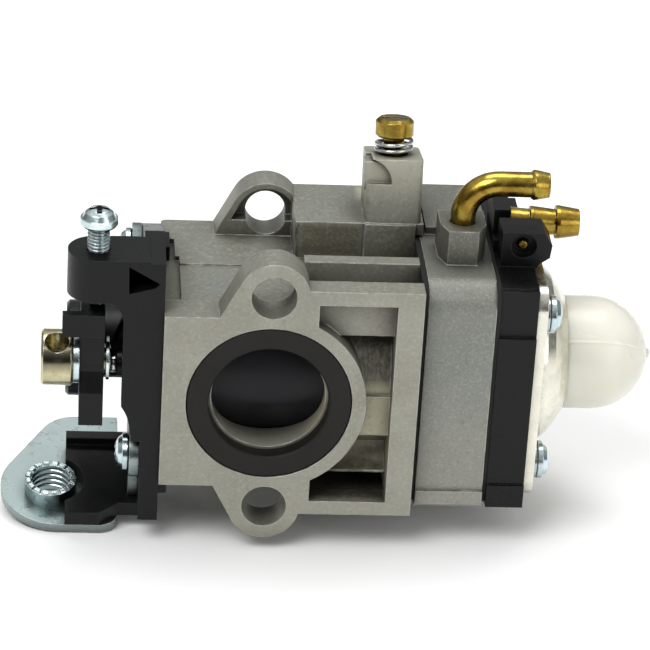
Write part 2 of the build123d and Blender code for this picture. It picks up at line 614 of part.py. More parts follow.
# ---------------------------------------------------------------- small screws
# outlines run from the tip to the top of the head, along the screw's axis
cover_shank = BODY_LEFT - upright_left + 7.0
cover_screw_outline = (
    [(0, 0)]
    + thread_profile(0, 7.0, 1.25, 1.05, 0.5)
    + [(7.0, 1.5), (cover_shank, 1.5)]
    + [(cover_shank + length, radius) for length, radius in pan_head(2.6, 1.9, 1.0)]
)
with BuildPart() as phillips_cross:
    block(-0.35, 0.35, -1.35, 1.35, -1.1, 0.5)
    block(-1.35, 1.35, -0.35, 0.35, -1.1, 0.5)
cover_screw = turned(cover_screw_outline, (BODY_LEFT + 7.0, 0, 0), (-1, 0, 0))
head_end = BODY_LEFT + 7.0 - cover_shank - 1.9
with BuildPart() as cover_screws:
    for y, z in COVER_SCREWS:
        with Locations((0, y, z)):
            add(cover_screw)
        with Locations(Location((head_end, y, z), (0, -90, 0))):
            add(phillips_cross.part, mode=Mode.SUBTRACT)
cover_screws.part.label = "cover_screws"
export_step(cover_screws.part, "parts/cover_screws.step")

idle_shank = 11.5
idle_outline = (
    [(0, 0), (0, 0.9), (0.5, 1.25)]
    + thread_profile(0.5, idle_shank, 1.5, 1.2, 0.5)
    + [(idle_shank + length, radius) for length, radius in pan_head(2.5, 2.4, 1.3)]
)
idle_blank = turned(idle_outline, (IDLE_X, IDLE_Y, IDLE_TIP), (0, 0, 1), X_DIRECTION)
with BuildPart() as idle_speed_screw:
    add(idle_blank)
    with Locations((IDLE_X, IDLE_Y, IDLE_TIP + idle_shank + 2.4)):
        add(phillips_cross.part, mode=Mode.SUBTRACT)
idle_speed_screw.part.label = "idle_speed_screw"
export_step(idle_speed_screw.part, "parts/idle_speed_screw.step")

# ---------------------------------------------------------------- mixture screw, spring, seals
screw_foot = tuple(
    start - 12.0 * step for start, step in zip(tuple(tower_plane.origin), tower_axis)
)
mixture_outline = (
    [(0, 0), (0.2, 0.35), (2.2, 0.9), (2.2, 1.15)]
    + [(5.0, 1.15), (5.0, 1.05)]
    + thread_profile(5.0, 9.6, 1.6, 1.3, 0.6)
    + [(9.6, 1.4), (14.4, 1.4), (14.4, 2.35), (14.65, 2.6), (16.5, 2.6), (16.95, 2.15), (16.95, 0)]
)
mixture_blank = turned(mixture_outline, screw_foot, tower_axis, X_DIRECTION)
with BuildPart() as mixture_screw:
    add(mixture_blank)
    with Locations(tower_plane.offset(4.95)):
        Box(6.0, 0.7, 2.0, mode=Mode.SUBTRACT)
mixture_screw.part.label = "mixture_screw"
export_step(mixture_screw.part, "parts/mixture_screw.step")

spring_foot = tuple(
    start + 0.32 * step for start, step in zip(tuple(tower_plane.origin), tower_axis)
)
mixture_spring = BuildPart()
with mixture_spring:
    add(coil(2.4, 0.28, 0.85, 1.72, spring_foot, tower_axis))
mixture_spring.part.label = "mixture_spring"
export_step(mixture_spring.part, "parts/mixture_spring.step")

with BuildPart() as mixture_o_ring:
    with Locations(tower_plane.offset(-1.2)):
        Cylinder(2.06, 1.1, align=(Align.CENTER, Align.CENTER, Align.MAX))
    with Locations(tower_plane.offset(-1.7)):
        Cylinder(1.43, 3.0, mode=Mode.SUBTRACT)
mixture_o_ring.part.label = "mixture_o_ring"
export_step(mixture_o_ring.part, "parts/mixture_o_ring.step")

# ---------------------------------------------------------------- pump and metering stack
with BuildPart() as pump_gasket:
    extrude(stack_outline(Plane.YZ.offset(BODY_RIGHT), 0.2), amount=0.35)
    for y, z in stack_screws:
        rod_x(SCREW_RADIUS + 0.15, 19, 21, y, z, Mode.SUBTRACT)
    rod_x(3.4, 19, 21, 12.0, -6.0, Mode.SUBTRACT)
pump_gasket.part.label = "pump_gasket"
export_step(pump_gasket.part, "parts/pump_gasket.step")

with BuildPart() as pump_diaphragm:
    extrude(stack_outline(Plane.YZ.offset(BODY_RIGHT + 0.35), 0.2), amount=0.35)
    for y, z in stack_screws:
        rod_x(SCREW_RADIUS + 0.15, 19, 21, y, z, Mode.SUBTRACT)
    for z in (5.0, 9.0):
        with BuildSketch(Plane.YZ.offset(19)):
            with Locations((22.0, z)):
                SlotArc(CenterArc((0, 0), 1.6, 60, 240), 0.4)
        extrude(amount=3, mode=Mode.SUBTRACT)
pump_diaphragm.part.label = "pump_diaphragm"
export_step(pump_diaphragm.part, "parts/pump_diaphragm.step")

with BuildPart() as pump_body:
    block(PUMP_LEFT, PUMP_RIGHT, STACK_FRONT, STACK_BACK, -STACK_HALF_HEIGHT, STACK_HALF_HEIGHT)
    front_edges = pump_body.edges().filter_by(Axis.X).group_by(Axis.Y)[0]
    fillet(front_edges.group_by(Axis.Z)[-1], radius=4.0)
    fillet(front_edges.group_by(Axis.Z)[0], radius=1.2)
    # raised back of the top, and the lip along the bottom
    block(OVERHANG_RIGHT + 0.4, PUMP_RIGHT, 19.0, STACK_BACK, STACK_HALF_HEIGHT - 1, 17.6)
    block(PUMP_LEFT, PUMP_RIGHT, STACK_FRONT - 0.35, STACK_FRONT + 2, -15.6, -13.6)
    # elbow boss with cut corners
    with BuildSketch(Plane.XY.offset(STACK_HALF_HEIGHT - 3)):
        with BuildLine():
            Polyline((22.4, 12.0), (23.4, 9.4), (27.4, 9.4), (28.6, 12.0), (28.6, 16.4),
                     (22.4, 16.4), close=True)
        make_face()
    extrude(amount=7.9)
    rod_z(1.75, 17.0, 22.0, 25.5, 13.0, Mode.SUBTRACT)
    rod_z(0.9, 12.0, 18.0, 25.5, 13.0, Mode.SUBTRACT)
    # metering chamber on the right, pump chamber and screen seat on the left
    rod_x(CHAMBER_RADIUS, 25.6, PUMP_RIGHT + 1, STACK_Y, 0, Mode.SUBTRACT)
    rod_x(3.4, PUMP_LEFT - 1, PUMP_LEFT + 2.2, 12.0, -6.0, Mode.SUBTRACT)
    rod_x(3.2, PUMP_LEFT - 1, PUMP_LEFT + 1.6, 12.5, 7.5, Mode.SUBTRACT)
    rod_x(1.05, 21.5, 26.0, 10.4, 0, Mode.SUBTRACT)
    rod_x(1.5, 24.0, 26.0, 15.4, 0, Mode.SUBTRACT)
    rod_x(0.83, 23.0, 26.0, PIVOT_Y, -3.6, Mode.SUBTRACT)
    for y, z in stack_screws:
        rod_x(SCREW_RADIUS + 0.1, 20, 30, y, z, Mode.SUBTRACT)
pump_body.part.label = "pump_body"
export_step(pump_body.part, "parts/pump_body.step")

with BuildPart() as inlet_screen:
    rod_x(3.15, PUMP_LEFT + 1.0, PUMP_LEFT + 1.4, 12.5, 7.5)
inlet_screen.part.label = "inlet_screen"
export_step(inlet_screen.part, "parts/inlet_screen.step")

# brass inlet tube: up out of the boss, round a quarter turn and out to its barb
ELBOW_X = 25.5
ELBOW_Y = 13.0
ELBOW_TOP = 26.9
ELBOW_BEND = 4.6
BARB_START = 34.3
ELBOW_END = 36.7
elbow_frame = Plane(origin=(0, ELBOW_Y, 0), x_dir=X_DIRECTION, z_dir=(0, -1, 0))
bend_x = ELBOW_X + ELBOW_BEND
bend_z = ELBOW_TOP - ELBOW_BEND


def elbow_run(radius, foot, end, mode=Mode.ADD):
    """One bore or skin of the elbow: upright, quarter turn and level run."""
    rod_z(radius, foot, bend_z, ELBOW_X, ELBOW_Y, mode)
    rod_x(radius, bend_x, end, ELBOW_Y, ELBOW_TOP, mode)
    with BuildSketch(Plane.XY.offset(bend_z)) as section:
        with Locations((ELBOW_X, ELBOW_Y)):
            Circle(radius)
    return section.sketch


bend_axis = Axis((bend_x, ELBOW_Y, bend_z), (0, 1, 0))
with BuildPart() as inlet_elbow:
    revolve(elbow_run(1.7, 17.4, ELBOW_END - 0.1), axis=bend_axis, revolution_arc=90)
    revolve(elbow_run(1.0, 17.0, ELBOW_END + 1, Mode.SUBTRACT), axis=bend_axis,
            revolution_arc=90, mode=Mode.SUBTRACT)
    with BuildSketch(elbow_frame):
        with BuildLine():
            Polyline(
                (BARB_START, ELBOW_TOP + 1.5), (BARB_START, ELBOW_TOP + 1.85),
                (BARB_START + 0.35, ELBOW_TOP + 2.05), (BARB_START + 0.7, ELBOW_TOP + 2.0),
                (ELBOW_END, ELBOW_TOP + 1.65), (ELBOW_END, ELBOW_TOP + 1.2), close=True,
            )
        make_face()
    revolve(axis=Axis((ELBOW_X, ELBOW_Y, ELBOW_TOP), X_DIRECTION))
inlet_elbow.part.label = "inlet_elbow"
export_step(inlet_elbow.part, "parts/inlet_elbow.step")

with BuildPart() as metering_gasket:
    extrude(stack_outline(Plane.YZ.offset(PUMP_RIGHT), 0.15), amount=0.25)
    rod_x(CHAMBER_RADIUS, 29, 31, STACK_Y, 0, Mode.SUBTRACT)
    for y, z in stack_screws:
        rod_x(SCREW_RADIUS + 0.15, 29, 31, y, z, Mode.SUBTRACT)
metering_gasket.part.label = "metering_gasket"
export_step(metering_gasket.part, "parts/metering_gasket.step")

with BuildPart() as metering_diaphragm:
    extrude(stack_outline(Plane.YZ.offset(PUMP_RIGHT + 0.25), 0.15), amount=0.3)
    rod_x(1.1, 29, 31, STACK_Y, 0, Mode.SUBTRACT)
    for y, z in stack_screws:
        rod_x(SCREW_RADIUS + 0.15, 29, 31, y, z, Mode.SUBTRACT)
metering_diaphragm.part.label = "metering_diaphragm"
export_step(metering_diaphragm.part, "parts/metering_diaphragm.step")

button_outline = [
    (28.1, 0), (28.1, 0.8), (28.3, 1.0), (BASE_LEFT, 1.0), (BASE_LEFT, 3.6),
    (BASE_LEFT + 0.35, 3.6), (BASE_LEFT + 0.35, 1.4), (BASE_LEFT + 0.7, 1.2),
    (BASE_LEFT + 0.7, 0),
]
diaphragm_button = BuildPart()
with diaphragm_button:
    add(turned(button_outline, (0, STACK_Y, 0), X_DIRECTION))
diaphragm_button.part.label = "diaphragm_button"
export_step(diaphragm_button.part, "parts/diaphragm_button.step")

# rocker: its fork lifts the needle when the button presses its other end
with BuildPart() as metering_lever:
    block(PIVOT_X - 0.25, PIVOT_X + 0.25, 9.4, 12.0, -1.3, 1.3)
    block(PIVOT_X - 0.25, PIVOT_X + 0.25, 8.9, 11.0, -0.4, 0.4, Mode.SUBTRACT)
    with BuildSketch(Plane.XY.offset(-1.3)):
        with BuildLine():
            Polyline(
                (PIVOT_X - 0.25, 11.8), (PIVOT_X - 0.25, 14.6), (PIVOT_X + 1.0, 16.6),
                (PIVOT_X + 1.0, 18.4), (PIVOT_X + 1.4, 18.4), (PIVOT_X + 1.4, 16.4),
                (PIVOT_X + 0.9, PIVOT_Y + 0.9), (PIVOT_X + 0.25, 11.8), close=True,
            )
        make_face()
        with Locations((PIVOT_X, PIVOT_Y)):
            Circle(0.9)
    extrude(amount=2.6)
    rod_z(0.58, -2, 2, PIVOT_X, PIVOT_Y, Mode.SUBTRACT)
metering_lever.part.label = "metering_lever"
export_step(metering_lever.part, "parts/metering_lever.step")

with BuildPart() as metering_lever_pin:
    rod_z(0.53, -4.6, 4.6, PIVOT_X, PIVOT_Y)
metering_lever_pin.part.label = "metering_lever_pin"
export_step(metering_lever_pin.part, "parts/metering_lever_pin.step")

pin_screw_outline = [
    (23.4, 0), (23.4, 0.8), (PIVOT_X + 0.57, 0.8), (PIVOT_X + 0.57, 1.8),
    (PIVOT_X + 1.5, 1.6), (PIVOT_X + 1.5, 0),
]
pin_screw_blank = turned(pin_screw_outline, (0, PIVOT_Y, -3.6), X_DIRECTION)
with BuildPart() as pin_screw:
    add(pin_screw_blank)
    rod_z(0.56, -6, -2, PIVOT_X, PIVOT_Y, Mode.SUBTRACT)
    block(PIVOT_X + 1.0, PIVOT_X + 2, PIVOT_Y - 2, PIVOT_Y + 2, -3.8, -3.4, Mode.SUBTRACT)
pin_screw.part.label = "pin_screw"
export_step(pin_screw.part, "parts/pin_screw.step")

metering_lever_spring = BuildPart()
with metering_lever_spring:
    add(coil(1.05, 0.16, 0.55, 1.85, (24.25, 15.4, 0), X_DIRECTION))
metering_lever_spring.part.label = "metering_lever_spring"
export_step(metering_lever_spring.part, "parts/metering_lever_spring.step")

needle_valve_outline = [
    (22.0, 0), (23.0, 0.5), (23.4, 0.97), (26.0, 0.97), (26.0, 0.36), (27.2, 0.36),
    (27.2, 0.8), (27.5, 0.8), (27.5, 0),
]
inlet_needle = BuildPart()
with inlet_needle:
    add(turned(needle_valve_outline, (0, 10.4, 0), X_DIRECTION))
inlet_needle.part.label = "inlet_needle"
export_step(inlet_needle.part, "parts/inlet_needle.step")

# ---------------------------------------------------------------- primer base, nipple and bulb
NIPPLE_Y = 20.0
NIPPLE_Z = 18.4
with BuildPart() as primer_base:
    block(BASE_LEFT, BASE_RIGHT, 2.6, 33.0, -16.0, 16.0)
    block(BASE_LEFT, BASE_RIGHT, 1.6, 4.0, -15.9, -12.6)
    block(BASE_LEFT, BASE_RIGHT, 2.0, 4.0, -12.7, 9.3)
    block(BASE_LEFT, BASE_RIGHT, 3.2, 12.0, 11.0, 16.2)
    # ear with the passage plug's recess, chamfered on its outer end
    with BuildSketch(Plane.XZ.offset(-15.0)):
        with BuildLine():
            Polyline(
                (BASE_LEFT + 0.5, 12.0), (BASE_LEFT + 0.5, 21.1), (36.3, 21.1), (37.4, 19.4),
                (37.2, 17.6), (35.9, 16.7), (BASE_RIGHT, 15.6), (BASE_RIGHT, 12.0), close=True,
            )
        make_face()
    extrude(amount=5.0)
    rod_y(1.7, 9.0, 11.6, 33.6, 19.2, Mode.SUBTRACT)
    rod_y(0.75, 9.0, 14.0, 33.6, 19.0, Mode.SUBTRACT)
    # seat of the return nipple, behind the ear
    block(BASE_LEFT, 32.4, 16.4, 23.6, 14.0, 21.6)
    block(BASE_LEFT, 32.4, 14.5, 17.0, 14.0, 18.0)
    rod_x(1.78, 30.6, 33.0, NIPPLE_Y, NIPPLE_Z, Mode.SUBTRACT)
    # air side of the metering diaphragm, valve bore and screw holes
    rod_x(CHAMBER_RADIUS, BASE_LEFT - 1, BASE_LEFT + 1.6, STACK_Y, 0, Mode.SUBTRACT)
    rod_x(2.6, BASE_LEFT, BASE_RIGHT + 1, STACK_Y, 0, Mode.SUBTRACT)
    rod_x(8.6, BASE_RIGHT - 0.8, BASE_RIGHT + 1, STACK_Y, 0, Mode.SUBTRACT)
    for y, z in stack_screws:
        rod_x(SCREW_RADIUS + 0.1, 30, 36, y, z, Mode.SUBTRACT)
primer_base.part.label = "primer_base"
export_step(primer_base.part, "parts/primer_base.step")

with BuildPart() as passage_plug:
    rod_y(0.7, 10.9, 13.8, 33.6, 19.0)
    chamfer(passage_plug.edges().filter_by(GeomType.CIRCLE).group_by(Axis.Y)[0], length=0.2)
passage_plug.part.label = "passage_plug"
export_step(passage_plug.part, "parts/passage_plug.step")

nipple_outline = [
    (30.7, 1.0), (30.7, 1.75), (32.4, 1.75), (32.4, 1.95), (35.2, 1.72), (35.35, 1.72),
    (35.5, 2.12), (35.9, 2.12), (38.7, 1.78), (38.9, 1.78), (39.05, 2.3), (39.5, 2.3),
    (42.2, 1.85), (42.2, 1.05), (42.0, 1.0),
]
return_nipple = BuildPart()
with return_nipple:
    add(turned(nipple_outline, (0, NIPPLE_Y, NIPPLE_Z), X_DIRECTION))
return_nipple.part.label = "return_nipple"
export_step(return_nipple.part, "parts/return_nipple.step")

with BuildPart() as combination_valve:
    rod_x(2.55, 31.9, 34.2, STACK_Y, 0)
    rod_x(4.6, BASE_RIGHT - 0.75, BASE_RIGHT - 0.15, STACK_Y, 0)
    rod_x(2.55, 34.1, BASE_RIGHT + 0.6, STACK_Y, 0)
    with BuildSketch(Plane.YZ.offset(BASE_RIGHT + 0.6)) as valve_foot:
        with Locations((STACK_Y, 0)):
            Circle(2.2)
    with BuildSketch(Plane.YZ.offset(BASE_RIGHT + 3.0)) as valve_lips:
        with Locations((STACK_Y, 0)):
            RectangleRounded(0.9, 3.8, 0.4)
    loft([valve_foot.sketch, valve_lips.sketch])
    rod_x(1.0, 31.0, BASE_RIGHT + 0.5, STACK_Y, 0, Mode.SUBTRACT)
combination_valve.part.label = "combination_valve"
export_step(combination_valve.part, "parts/combination_valve.step")

bulb_outline = [
    (BASE_RIGHT + 0.05, 8.7), (BASE_RIGHT + 0.05, 11.7), (36.3, 11.7), (37.0, 11.0), (38.0, 9.9),
    (39.0, 8.6), (39.6, 7.95), (40.2, BULB_RADIUS), (BULB_TIP - BULB_RADIUS, BULB_RADIUS),
]
bulb_wall = 1.1
dome_centre = BULB_TIP - BULB_RADIUS
with BuildPart() as primer_bulb:
    with BuildSketch(Plane(origin=(0, STACK_Y, 0), x_dir=X_DIRECTION, z_dir=(0, 0, 1))):
        with BuildLine():
            Polyline(*bulb_outline)
            CenterArc((dome_centre, 0), BULB_RADIUS, 0, 90)
            Line((BULB_TIP, 0), (BULB_TIP - bulb_wall, 0))
            CenterArc((dome_centre, 0), BULB_RADIUS - bulb_wall, 0, 90)
            Polyline(
                (dome_centre, BULB_RADIUS - bulb_wall), (39.4, BULB_RADIUS - bulb_wall),
                (37.6, 8.6), (36.4, 8.7), (BASE_RIGHT + 0.05, 8.7),
            )
        make_face()
    revolve(axis=Axis((0, STACK_Y, 0), X_DIRECTION))
primer_bulb.part.label = "primer_bulb"
export_step(primer_bulb.part, "parts/primer_bulb.step")

dish_outline = [
    (BASE_RIGHT + 0.6, 12.0), (BASE_RIGHT + 0.6, 13.0), (PLATE_RIGHT, 12.7), (37.6, 12.3),
    (38.8, 11.3), (39.8, 10.0), (40.6, 8.8), (41.0, 8.2), (40.6, 8.0), (39.9, 8.4),
    (39.2, 9.4), (38.3, 10.6), (37.3, 11.5), (PLATE_RIGHT, 12.0),
]
dish = turned(dish_outline, (0, STACK_Y, 0), X_DIRECTION)
with BuildPart() as bulb_retainer:
    extrude(stack_outline(Plane.YZ.offset(BASE_RIGHT), 0.9, 3.2), amount=PLATE_RIGHT - BASE_RIGHT)
    rod_x(12.0, 35, 37, STACK_Y, 0, Mode.SUBTRACT)
    add(dish)
    for y, z in stack_screws:
        rod_x(SCREW_RADIUS + 0.1, 35, 37, y, z, Mode.SUBTRACT)
bulb_retainer.part.label = "bulb_retainer"
export_step(bulb_retainer.part, "parts/bulb_retainer.step")

with BuildPart() as retainer_washers:
    for y, z in stack_screws:
        rod_x(2.5, PLATE_RIGHT, PLATE_RIGHT + 0.5, y, z)
        rod_x(SCREW_RADIUS + 0.1, 36, 38, y, z, Mode.SUBTRACT)
retainer_washers.part.label = "retainer_washers"
export_step(retainer_washers.part, "parts/retainer_washers.step")

stack_shank = PLATE_RIGHT + 0.5 - 16.9
stack_screw_outline = (
    [(0, 0), (0, SCREW_RADIUS), (stack_shank, SCREW_RADIUS)]
    + [(stack_shank + length, radius) for length, radius in pan_head(2.55, 1.9, 1.0)]
)
stack_screw = turned(stack_screw_outline, (16.9, 0, 0), X_DIRECTION)
with BuildPart() as retainer_screws:
    for y, z in stack_screws:
        with Locations((0, y, z)):
            add(stack_screw)
        with Locations(Location((PLATE_RIGHT + 0.5 + 1.9, y, z), (0, 90, 0))):
            add(phillips_cross.part, mode=Mode.SUBTRACT)
retainer_screws.part.label = "retainer_screws"
export_step(retainer_screws.part, "parts/retainer_screws.step")
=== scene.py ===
"""Looks of a small rotary-barrel carburetor with a primer bulb. Metres, in the row frame."""

import json
import math
from collections import namedtuple

import bpy
from mathutils import Matrix, Vector


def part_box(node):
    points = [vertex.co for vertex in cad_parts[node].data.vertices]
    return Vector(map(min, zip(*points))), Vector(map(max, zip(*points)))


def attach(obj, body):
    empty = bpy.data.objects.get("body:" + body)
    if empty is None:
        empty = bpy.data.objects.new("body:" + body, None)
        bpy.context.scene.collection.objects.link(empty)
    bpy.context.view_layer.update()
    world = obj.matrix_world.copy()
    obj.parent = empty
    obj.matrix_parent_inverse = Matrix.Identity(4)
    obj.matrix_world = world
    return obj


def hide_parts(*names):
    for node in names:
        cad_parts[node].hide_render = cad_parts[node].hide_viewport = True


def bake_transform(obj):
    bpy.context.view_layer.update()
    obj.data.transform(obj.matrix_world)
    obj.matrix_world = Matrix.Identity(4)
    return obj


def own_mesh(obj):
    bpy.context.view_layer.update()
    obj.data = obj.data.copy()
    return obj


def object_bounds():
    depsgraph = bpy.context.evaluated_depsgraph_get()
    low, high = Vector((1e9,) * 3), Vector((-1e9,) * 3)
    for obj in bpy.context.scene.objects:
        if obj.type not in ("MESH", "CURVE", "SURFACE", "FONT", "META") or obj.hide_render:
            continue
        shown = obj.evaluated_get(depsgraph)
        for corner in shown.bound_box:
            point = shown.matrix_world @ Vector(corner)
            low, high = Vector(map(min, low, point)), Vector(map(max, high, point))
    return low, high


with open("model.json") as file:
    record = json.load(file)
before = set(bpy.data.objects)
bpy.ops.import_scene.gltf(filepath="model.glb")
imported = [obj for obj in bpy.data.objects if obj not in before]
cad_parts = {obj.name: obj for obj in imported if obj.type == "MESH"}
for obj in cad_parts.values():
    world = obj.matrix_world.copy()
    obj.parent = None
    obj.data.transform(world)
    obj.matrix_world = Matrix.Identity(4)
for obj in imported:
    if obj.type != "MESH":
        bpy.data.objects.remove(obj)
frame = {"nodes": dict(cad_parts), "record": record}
cad_box = [list(corner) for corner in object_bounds()]
nodes = frame["nodes"]
MM = 0.001

# ---------------------------------------------------------------- camera
AZIMUTH = math.radians(-5.0)
ELEVATION = math.radians(26.2)
ROLL = math.radians(3.5)
CAMERA_AT = Vector((-28.02, -397.80, 208.33)) * MM
LENS = 188.31

level = Vector((math.cos(AZIMUTH), math.sin(AZIMUTH), 0))
rise = Vector(
    (
        -math.sin(AZIMUTH) * math.sin(ELEVATION),
        math.cos(AZIMUTH) * math.sin(ELEVATION),
        math.cos(ELEVATION),
    )
)
back = level.cross(rise)
right = level * math.cos(ROLL) + rise * math.sin(ROLL)
up = rise * math.cos(ROLL) - level * math.sin(ROLL)
camera = bpy.data.objects.new("camera", bpy.data.cameras.new("camera"))
bpy.context.scene.collection.objects.link(camera)
camera.matrix_world = Matrix.Translation(CAMERA_AT) @ Matrix((right, up, back)).transposed().to_4x4()
camera.data.lens = LENS
camera.data.clip_start = 0.01
camera.data.clip_end = 10
bpy.context.scene.camera = camera
bpy.context.scene.view_settings.view_transform = "Standard"


# ---------------------------------------------------------------- material kit
# how far the rounded normal leans where an edge starts to show, and where it shows fully
EDGE_STARTS = 0.02
EDGE_FULL = 0.2
# openness of a deep corner and of an open face
DEEP_CORNER = 0.35
OPEN_FACE = 0.95

# a toned place, most of them painted light and painted shade: its box in millimetres, soft border,
# colour, strength and the scale of its streaks
Patch = namedtuple("Patch", "box soft tone amount streaks", defaults=(None,))


class Look:
    """A procedural material being wired up."""

    def __init__(self, name):
        self.material = bpy.data.materials.new(name)
        self.material.use_nodes = True
        self.tree = self.material.node_tree
        self.tree.nodes.clear()
        self.shader = self.add("ShaderNodeBsdfPrincipled")
        out = self.add("ShaderNodeOutputMaterial")
        self.join(self.shader.outputs[0], out.inputs["Surface"])
        self.place = self.add("ShaderNodeTexCoord").outputs["Object"]

    def add(self, kind, **settings):
        made = self.tree.nodes.new(kind)
        for key, value in settings.items():
            setattr(made, key, value)
        return made

    def join(self, source, target):
        """Links a socket, or sets a plain value."""
        if isinstance(source, bpy.types.NodeSocket):
            self.tree.links.new(source, target)
        else:
            target.default_value = source

    def stretched(self, scale):
        """The place coordinate scaled along each axis."""
        mapped = self.add("ShaderNodeMapping")
        self.join(self.place, mapped.inputs["Vector"])
        mapped.inputs["Scale"].default_value = scale
        return mapped.outputs[0]

    def noise(self, scale, detail=4.0, rough=0.55, warp=0.0, place=None):
        """Cloudy noise from 0 to 1."""
        made = self.add("ShaderNodeTexNoise")
        self.join(self.place if place is None else place, made.inputs["Vector"])
        made.inputs["Scale"].default_value = scale
        made.inputs["Detail"].default_value = detail
        made.inputs["Roughness"].default_value = rough
        made.inputs["Distortion"].default_value = warp
        return made.outputs["Fac"]

    def span(self, value, low, high, new_low=0.0, new_high=1.0):
        """value carried from one range to another, clamped."""
        made = self.add("ShaderNodeMapRange")
        self.join(value, made.inputs["Value"])
        for key, number in (
            ("From Min", low), ("From Max", high), ("To Min", new_low), ("To Max", new_high)
        ):
            made.inputs[key].default_value = number
        return made.outputs[0]

    def math(self, what, a, b=0.0, clamp=False):
        made = self.add("ShaderNodeMath", operation=what, use_clamp=clamp)
        self.join(a, made.inputs[0])
        self.join(b, made.inputs[1])
        return made.outputs[0]

    def mix(self, amount, a, b):
        """Colour a, going over to colour b."""
        made = self.add("ShaderNodeMix", data_type="RGBA")
        self.join(amount, made.inputs[0])
        self.join(colour(a), made.inputs[6])
        self.join(colour(b), made.inputs[7])
        return made.outputs[2]

    def axis(self, index):
        """One coordinate of the place, in metres."""
        made = self.add("ShaderNodeSeparateXYZ")
        self.join(self.place, made.inputs[0])
        return made.outputs[index]

    def band(self, index, low, high, soft):
        """1 between two coordinates along an axis, fading over soft."""
        place = self.axis(index)
        rising = self.span(place, (low - soft) * MM, (low + soft) * MM)
        falling = self.span(place, (high - soft) * MM, (high + soft) * MM, 1.0, 0.0)
        return self.math("MULTIPLY", rising, falling)

    def inside(self, box, soft):
        """1 inside a box given as (low, high) per axis in millimetres."""
        mask = 1.0
        for index, (low, high) in enumerate(box):
            mask = self.math("MULTIPLY", self.band(index, low, high, soft), mask)
        return mask

    def facing(self, axis, low=0.6, high=0.95):
        """1 on faces that look along an axis."""
        made = self.add("ShaderNodeVectorMath", operation="DOT_PRODUCT")
        self.join(self.add("ShaderNodeNewGeometry").outputs["Normal"], made.inputs[0])
        made.inputs[1].default_value = axis
        return self.span(made.outputs["Value"], low, high)

    def edges(self, radius):
        """(1 near sharp edges, the rounded normal)."""
        rounded = self.add("ShaderNodeBevel", samples=4)
        rounded.inputs["Radius"].default_value = radius
        made = self.add("ShaderNodeVectorMath", operation="DOT_PRODUCT")
        self.join(rounded.outputs[0], made.inputs[0])
        self.join(self.add("ShaderNodeNewGeometry").outputs["Normal"], made.inputs[1])
        edge = self.span(made.outputs["Value"], 1.0 - EDGE_STARTS, 1.0 - EDGE_FULL)
        return edge, rounded.outputs[0]

    def crevice(self, distance):
        """1 deep in corners and recesses, 0 on open faces."""
        made = self.add("ShaderNodeAmbientOcclusion", samples=6)
        made.inputs["Distance"].default_value = distance
        return self.span(made.outputs["AO"], DEEP_CORNER, OPEN_FACE, 1.0, 0.0)

    def bump(self, height, depth, normal):
        """A normal with fine relief added to it."""
        made = self.add("ShaderNodeBump")
        made.inputs["Distance"].default_value = depth
        self.join(height, made.inputs["Height"])
        self.join(normal, made.inputs["Normal"])
        return made.outputs[0]

    def done(self, base, roughness, normal=None, **sockets):
        self.join(colour(base), self.shader.inputs["Base Color"])
        self.join(roughness, self.shader.inputs["Roughness"])
        if normal is not None:
            self.join(normal, self.shader.inputs["Normal"])
        for key, value in sockets.items():
            self.shader.inputs[key.replace("_", " ")].default_value = value
        return self.material


def colour(value):
    """A colour triple given its alpha; sockets pass through."""
    if isinstance(value, tuple):
        return (*value, 1.0)
    return value


# ---------------------------------------------------------------- materials
CAST_CLOUD = (0.20, 0.205, 0.175)
CAST_FLECK = (0.50, 0.49, 0.42)
CAST_PIT = (0.085, 0.08, 0.06)
# painted shade for the castings' corners and recesses
CAST_RECESS_SHADE = (0.026, 0.023, 0.014)
# edge wear on the castings, lightened further as a painted highlight
CAST_EDGE_WEAR_AND_HIGHLIGHT = (0.66, 0.65, 0.60)
# dark specks on the plated metals, and their painted shade in recesses and towards the lens
FILM_GRIME_AND_SHADE = (0.05, 0.05, 0.045)
FILM_EDGE = (0.93, 0.93, 0.90)
FILM_GRAIN = 900


